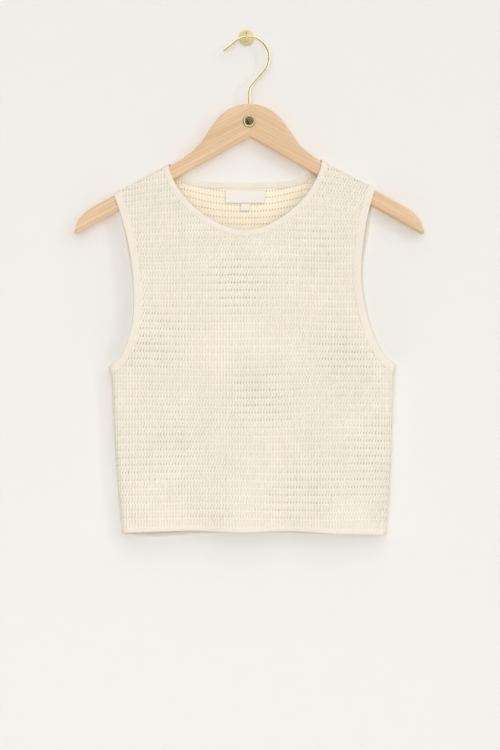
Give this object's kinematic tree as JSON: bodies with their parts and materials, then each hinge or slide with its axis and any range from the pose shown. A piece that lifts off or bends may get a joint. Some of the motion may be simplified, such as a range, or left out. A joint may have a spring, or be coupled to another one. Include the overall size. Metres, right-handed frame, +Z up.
{
  "type": "knit tank top on a hanger with its wall hook",
  "caption": "Sleeveless openwork knit top with a round neck, hung flat on a wooden hanger from a small round wall hook.",
  "frame": {"origin": "centre of the wall plate's back face, where it lies on the wall", "axes": "+X to the right as seen from the front, +Y back into the wall, +Z up"},
  "size_m": [0.4454, 0.0332, 0.6475],
  "materials": {
    "cream_knit": "openwork cotton knit",
    "cream_band": "smooth fine-gauge knit",
    "white_label": "woven satin",
    "beech": "satin lacquer",
    "brass": "polished",
    "dark_brass": "aged"
  },
  "bodies": {
    "root": {"front_panel": "cream_knit", "back_panel": "cream_knit", "neck_band": "cream_band", "armhole_band_left": "cream_band", "armhole_band_right": "cream_band", "hem_band": "cream_band", "neck_label": "white_label", "size_tab": "white_label", "hanger_wood": "beech", "hanger_hook": "brass", "hanger_badge": "dark_brass", "wall_plate": "brass", "wall_prong": "brass", "wall_screw": "dark_brass"}
  },
  "joints": []
}
